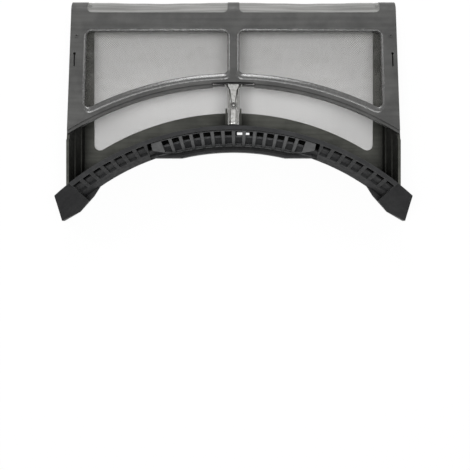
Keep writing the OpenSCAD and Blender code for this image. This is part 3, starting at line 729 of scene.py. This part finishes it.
def grip_points():
    """Grid of the face, columns along the bar and rows up, and a flag per cell that is inside
    a slot. A column keeps a distance from a slot's middle line: its angle is the slot's angle
    plus the arc sine of that distance over the radius. The four columns at each end share out
    the blank face beside the last slot. The lowest row starts where the face meets the
    straight cut."""
    middles = (np.arange(SLOTS) - (SLOTS - 1) / 2) * SLOT_PITCH / RIM_R
    base = np.concatenate([[0] * 4, np.repeat(middles, 2), [0] * 4])
    shift = np.concatenate([[0] * 4, np.tile([-SLOT_HALF, SLOT_HALF], SLOTS), [0] * 4])

    def angles(z):
        r = grip_radius(z)
        a = base + np.arcsin(shift / r)
        end, first = np.arcsin(GRIP_HALF / r[:, :4]), a[:, 4:5]
        blank = first + (-end - first) * np.array([1, 0.75, 0.5, 0.25])
        a[:, :4], a[:, -4:] = blank, -blank[:, ::-1]
        return a

    foot = angles(np.full((1, len(base)), GRIP_LOW))[0]
    z_low = GRIP_LOW + np.clip(FLAT_Y / np.cos(foot) - GRIP_FOOT_R, 0, None) / (
        GRIP_TOP_R - GRIP_FOOT_R) * (GRIP_HIGH - GRIP_LOW)
    sill = np.maximum(z_low + SILL, SILL_LOW)
    share = np.linspace(0, 1, 9)[:, None]
    z = np.vstack([z_low, sill + (SLOT_TOP - sill) * share, np.full(len(base), GRIP_EDGE)])
    a, r = angles(z), grip_radius(z)
    points = np.stack([r * np.sin(a), r * np.cos(a) - MIDDLE_Y, z], -1)
    slotted = np.zeros((len(z) - 1, len(base) - 1), bool)
    slotted[1:-1, 4:-4:2] = True
    return points, slotted


face, slotted = grip_points()
grip = grid_piece("grip_shell", face, grip_plastic, holes=slotted)
wall = grip.modifiers.new("wall", "SOLIDIFY")
wall.thickness, wall.offset = 1.85 * MM, -1
radii = grip.modifiers.new("radii", "BEVEL")
radii.width, radii.segments = 0.4 * MM, 2
radii.limit_method, radii.angle_limit = "ANGLE", math.radians(40)
radii.harden_normals = True
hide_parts("grip_insert")
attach(grip, "back_half")
print("grip with", int(slotted.any(axis=0).sum()), "slots,", len(grip.data.polygons), "cells")

# %% [markdown]
# ## Catch strap
# The strap is pressed from thin bright strip. Its edges are turned up into a rounded border, a
# tongue narrows from the fan-shaped head to a dimpled boss half way down, and the foot ends in
# a turned edge. A press forms all of this in one stroke, so one height function over the
# strip's plan gives the whole top face, and a Solidify modifier gives it the strip's gauge.
# The metal has fine brush lines along it and cloudy dull patches, and shade is painted into its
# hollows.

# %% Finish of the strap
metal, tree, shader = new_material("bright_strip", Metallic=0.6, IOR=1.5)
place = object_place(tree)
brushed = noise(tree, stretch(tree, place, (2200.0, 90.0, 400.0)), 1.0, 4.0)
dulled = noise(tree, place, 420.0, 3.0)
polished = blend_colours(tree, spread(tree, dulled, 0.35, 0.7), (0.33, 0.33, 0.32, 1),
                         (0.20, 0.197, 0.19, 1))
# Painted shade: the colour darkens where Ambient Occlusion finds hollows
painted_hollow_shade = spread(tree, open_sky(tree, 2.2 * MM, 8), 0.55, 0.92)
tree.links.new(blend_colours(tree, painted_hollow_shade, (0.045, 0.043, 0.04, 1), polished),
               shader.inputs["Base Color"])
tree.links.new(spread(tree, dulled, 0.3, 0.75, 0.28, 0.42), shader.inputs["Roughness"])
brush_bump = add(tree, "Bump", {"Strength": 0.3, "Distance": 0.03 * MM, "Height": brushed})
tree.links.new(brush_bump.outputs[0], shader.inputs["Normal"])
print("strap finish:", metal.name)

# %% Shape of the strap
STRAP_FOOT, STRAP_HALF, HEAD_HALF = 236.2 * MM, 5.2 * MM, 8.0 * MM
STRAP_Z = cover_top(LIP_R) + 0.3 * MM
BOSS_Y = (STRAP_FOOT + LIP_R) / 2
HEAD_END = LIP_R + 1.0 * MM
PLATE_HALF = 2.5 * MM
# Heights of the pressing above the strip's plain face, and depth of the ring round the boss
PLAIN, RAISED, PLATE_UP, FOOT_UP, HIGHEST = 0.1 * MM, 1.15 * MM, 0.75 * MM, 0.6 * MM, 1.45 * MM
RING_DOWN, EDGE_DOWN = 1.0 * MM, 0.5 * MM


def strap_top(rows=150, columns=72):
    """Top face of the strap. Half its width grows near the head, u runs across and v along.
    The height adds the turned border, the tongue that narrows to the boss, the plate below the
    boss and the turned foot. The boss stands up from that with a groove round it, and the
    outermost edge rolls down."""
    v = np.linspace(0, 1, rows)[:, None]
    u = np.linspace(-1, 1, columns)[None, :]
    y = STRAP_FOOT + (HEAD_END - STRAP_FOOT) * v
    to_lip = step(y, LIP_R - 6 * MM, LIP_R + 0.5 * MM) ** 3
    half = STRAP_HALF + (HEAD_HALF - STRAP_HALF) * to_lip
    x = half * u
    edge = half - np.abs(x)
    border = 1 - step(edge, 0.7 * MM, 1.5 * MM)
    to_head = step(y, BOSS_Y + 2 * MM, LIP_R - 4 * MM)
    tongue_half = 2.0 * MM + 1.3 * MM * to_head + 2.0 * MM * step(y, LIP_R - 5 * MM, LIP_R)
    above = step(y, BOSS_Y + 0.5 * MM, BOSS_Y + 3 * MM)
    tongue = (1 - step(np.abs(x), tongue_half - 0.8 * MM, tongue_half + 0.3 * MM)) * above
    below = 1 - step(y, BOSS_Y - 4 * MM, BOSS_Y - 2.5 * MM)
    across = np.abs(x + 0.2 * MM)
    plate = (1 - step(across, PLATE_HALF - 0.5 * MM, PLATE_HALF + 0.4 * MM)) * below
    r = np.sqrt(x ** 2 + (y - BOSS_Y) ** 2)
    ring = bell(r, 1.75 * MM, 0.6 * MM)
    boss = 1 - step(r, 2.4 * MM, 3.2 * MM)
    foot = bell(y, STRAP_FOOT + 0.9 * MM, 0.9 * MM) * (1 - border)
    z = PLAIN + RAISED * (border + tongue) + PLATE_UP * plate + FOOT_UP * foot
    rolled = (1 - step(edge, 0, 0.35 * MM)) ** 2
    z = np.maximum(z, RAISED * boss) - RING_DOWN * ring - EDGE_DOWN * rolled
    z = np.minimum(z, HIGHEST)
    return np.stack(np.broadcast_arrays(x, y - MIDDLE_Y, STRAP_Z + z), -1)


strap = grid_piece("strap_pressing", strap_top(), metal)
gauge = strap.modifiers.new("gauge", "SOLIDIFY")
gauge.thickness, gauge.offset = 0.25 * MM, -1
print("strap spans", round((HEAD_END - STRAP_FOOT) * 1000, 1), "mm")

# %% [markdown]
# ## Hook of the strap
# The strap's head goes over the beam of the lip and down through the slot behind it, and a wide
# T below the cover keeps it there. This end is painted dark, as the shade in the slot, and made
# dull. Folding it with the strap would put the bend into the strap's height function, which has
# only one height at each place, so the hook is a second strip whose path is worked out from one
# parameter.

# %% Finish and shape of the hook
# Painted shade: the hook is coloured near black so that the slot it hangs in reads as dark
dull, tree, shader = new_material("dull_strip", Metallic=0.3, IOR=1.5, Roughness=0.6)
dark_hook_noise = spread(tree, noise(tree, object_place(tree), 600.0, 3.0), 0.35, 0.7)
tree.links.new(blend_colours(tree, dark_hook_noise, (0.010, 0.010, 0.010, 1), (0.022, 0.021, 0.020, 1)),
               shader.inputs["Base Color"])
HOOK_HALF, T_WIDER = 7.0 * MM, 10.6 * MM
HOOK_UP, HOOK_OVER, HOOK_BEND, HOOK_DOWN, HOOK_BACK = (
    0.7 * MM, 1.3 * MM, 0.4 * MM, 4.2 * MM, 3.5 * MM)


def hook_points(rows=30, columns=40):
    """The strip turns down through the lip's slot and then turns back under the cover, where it
    widens to a T. v runs along the hook: a quarter turn up to v = 0.15, then the way down, and
    the half width steps up in the turned part."""
    v = np.linspace(0, 1, rows)[:, None]
    u = np.linspace(-1, 1, columns)[None, :]
    half = HOOK_HALF + T_WIDER * step(v, 0.64, 0.68)
    turn = np.clip(v / 0.15, 0, 1) * math.pi / 2
    y = HEAD_END - 0.3 * MM + HOOK_OVER * np.sin(turn) + HOOK_BACK * step(v, 0.55, 1.3)
    drop = np.where(v < 0.15, HOOK_BEND * (1 - np.cos(turn)),
                    HOOK_BEND + HOOK_DOWN * step(v, 0.1, 0.7))
    return np.stack(np.broadcast_arrays(half * u, y - MIDDLE_Y, STRAP_Z + HOOK_UP - drop), -1)


hook = grid_piece("strap_hook", hook_points(), dull)
gauge = hook.modifiers.new("gauge", "SOLIDIFY")
gauge.thickness, gauge.offset = 0.5 * MM, 0
for piece in (strap, hook):
    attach(piece, "catch")
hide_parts("catch_strap")
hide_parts("catch_strap")
lowest = hook.data.vertices[-1].co.z
print("hook drops", round((STRAP_Z + HOOK_UP - lowest) * 1000, 1), "mm")

# %% [markdown]
# ## Floor
# The filter lies on a white table. The floor is a pale matt surface that the camera, and what
# the parts mirror, see as nearly white by a glow of its own, while the rest of it still draws
# the filter's shadow. Under the filter there is no glow, so the cloth and the slots show the
# table's true shade there: masks from the distance to the arcs mark that area.

# %% Floor
FLOOR_HALF, GLOW = 3.0, 0.93
floor_material, tree, shader = new_material("white_table", Roughness=0.9)
shader.inputs["Base Color"].default_value = (0.9, 0.9, 0.9, 1)
path = add(tree, "LightPath").outputs
mirrored = maths(tree, "MAXIMUM", path["Is Glossy Ray"], path["Is Transmission Ray"])
seen = maths(tree, "MAXIMUM", path["Is Camera Ray"], mirrored)
glow = add(tree, "Emission", {"Color": (1, 1, 1, 1), "Strength": 1.0}).outputs[0]
aside, reach = from_arcs(tree)
ahead = add(tree, "SeparateXYZ", {0: object_place(tree)}).outputs[1]
covered = product(tree, spread(tree, aside, 142 * MM, 130 * MM),
                  spread(tree, reach, 238 * MM, 246 * MM),
                  spread(tree, ahead, 100 * MM, 88 * MM), spread(tree, ahead, -110 * MM, -100 * MM))
white = product(tree, seen, spread(tree, covered, 0.0, 1.0, GLOW, 0.0))
mix = add(tree, "MixShader", {0: white, 1: shader.outputs[0], 2: glow})
tree.links.new(mix.outputs[0], tree.nodes["Material Output"].inputs["Surface"])
corners = np.array([[[-1, -1, 0], [1, -1, 0]], [[-1, 1, 0], [1, 1, 0]]]) * FLOOR_HALF
floor = grid_piece("floor", corners - np.array([0, 0, 0.05 * MM]), floor_material)
print("floor", FLOOR_HALF * 2, "m wide")

# %% [markdown]
# ## Light
# Product pictures are lit softly from several sides. Two square lamps overhead, the left one a
# little stronger, light the faces that look up. A wide lamp beyond the nose is low, so that
# the beads mirror it as bright lines, and two weak lamps at its corners carry these lines on
# round the window corners. An even sky fills the shadows. The camera sees the sky as white.


# %% Lamps and sky
def soft_lamp(name, place, aim, width, depth, power):
    """A rectangular area lamp at a place, turned so that it faces the point aim: tilted by the
    angle to straight down, then turned about the vertical."""
    data = bpy.data.lights.new(name, "AREA")
    data.shape, data.size, data.size_y, data.energy = "RECTANGLE", width, depth, power
    lamp = bpy.data.objects.new(name, data)
    lamp.location = place
    direction = np.array(aim) - np.array(place)
    turn_x = math.acos(-direction[2] / np.linalg.norm(direction))
    turn_z = math.atan2(direction[0], -direction[1])
    lamp.rotation_euler = Euler((-turn_x, 0, turn_z))
    bpy.context.collection.objects.link(lamp)


soft_lamp("overhead_left", (-0.40, -0.10, 1.6), (0, 0, 0), 0.5, 0.5, 9.2)
soft_lamp("overhead_right", (0.40, -0.10, 1.6), (0, 0, 0), 0.5, 0.5, 7.3)
soft_lamp("from_nose", (-0.03, 1.3, 0.75), (0, 0, 0.02), 0.54, 0.3, 7.8)
soft_lamp("corner_left", (-1.1, 0.8, 0.75), (0, 0, 0.02), 0.4, 0.4, 3)
soft_lamp("corner_right", (1.1, 0.8, 0.75), (0, 0, 0.02), 0.4, 0.4, 3)
SKY_LIGHT, SKY_SEEN = 0.42, 1.0
sky = bpy.data.worlds.new("sky")
sky.use_nodes = True
tree = sky.node_tree
dim, bright = tree.nodes["Background"], tree.nodes.new("ShaderNodeBackground")
for node, strength in ((dim, SKY_LIGHT), (bright, SKY_SEEN)):
    node.inputs["Color"].default_value = (1, 1, 1, 1)
    node.inputs["Strength"].default_value = strength
by_camera = add(tree, "LightPath").outputs["Is Camera Ray"]
mix = add(tree, "MixShader", {0: by_camera, 1: dim.outputs[0], 2: bright.outputs[0]})
tree.links.new(mix.outputs[0], tree.nodes["World Output"].inputs["Surface"])
bpy.context.scene.world = sky
